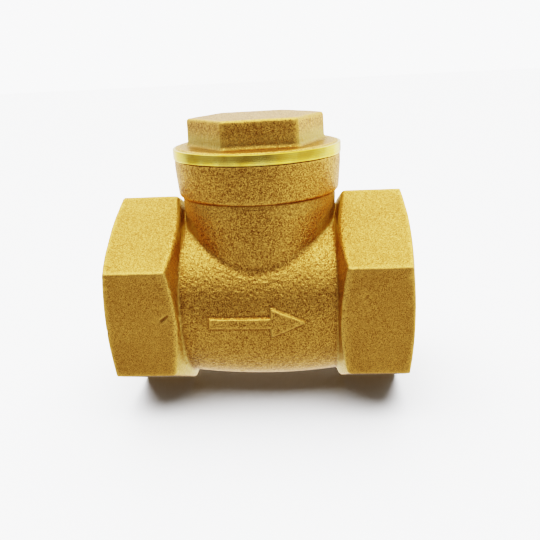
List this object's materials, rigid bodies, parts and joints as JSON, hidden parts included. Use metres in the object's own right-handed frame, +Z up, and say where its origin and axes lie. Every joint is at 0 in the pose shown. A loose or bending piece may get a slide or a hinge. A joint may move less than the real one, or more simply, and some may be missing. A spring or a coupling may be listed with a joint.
{
  "type": "check valve",
  "caption": "Brass swing check valve with hexagonal female-threaded pipe ends, a bulged barrel, an upright neck and a screwed hexagon cap over a hinged clapper.",
  "frame": {"origin": "where the pipe axis meets the axis of the neck and cap", "axes": "+X along the pipe axis in the flow direction, from inlet to outlet; +Z up through the cap; +Y away from the side that shows in the picture"},
  "size_m": [0.064, 0.0404, 0.0637],
  "materials": {
    "forged_brass": "sand-blasted forging, fine sparkling grain",
    "cap_brass": "sand-blasted hexagon over a bright machined flange",
    "turned_brass": "machined, with fine turning marks",
    "stainless_steel": "machined, satin",
    "nitrile_rubber": "matt black moulded rubber",
    "gasket_fibre": "dull compressed fibre sheet"
  },
  "bodies": {
    "valve_body": {"body": "forged_brass", "hinge_pin": "stainless_steel", "pin_washer_front": "turned_brass", "pin_washer_rear": "turned_brass", "pin_plug": "turned_brass", "plug_washer": "gasket_fibre"},
    "gasket": {"cap_gasket": "gasket_fibre"},
    "cap": {"cap": "cap_brass"},
    "arm": {"hinge_arm": "turned_brass"},
    "disc_set": {"disc": "turned_brass", "disc_seal": "nitrile_rubber", "seal_plate": "stainless_steel", "spring_washer": "stainless_steel", "plate_screw": "stainless_steel", "disc_washer": "stainless_steel", "disc_nut": "turned_brass", "split_pin": "stainless_steel"}
  },
  "joints": [
    {"name": "clapper_swing", "type": "hinge", "parent": "valve_body", "child": "arm", "pos_m": [-0.0075, 0, 0.0165], "axis": [0, -1, 0], "range_deg": [0, 55]},
    {"name": "disc_swivel", "type": "hinge", "parent": "arm", "child": "disc_set", "pos_m": [-0.0054, 0, 0], "axis": [1, 0, 0], "continuous": true},
    {"name": "cap_lift", "type": "slide", "parent": "valve_body", "child": "gasket", "axis": [0, 0, 1], "range_m": [0, 0.0084]},
    {"name": "cap_turn", "type": "hinge", "parent": "gasket", "child": "cap", "pos_m": [0, 0, 0.03228], "axis": [0, 0, 1], "range_deg": [0, 1980]}
  ],
  "couplings": [
    {"joint": "cap_lift", "follows": "cap_turn", "m_per_rad": 0.00023873}
  ]
}
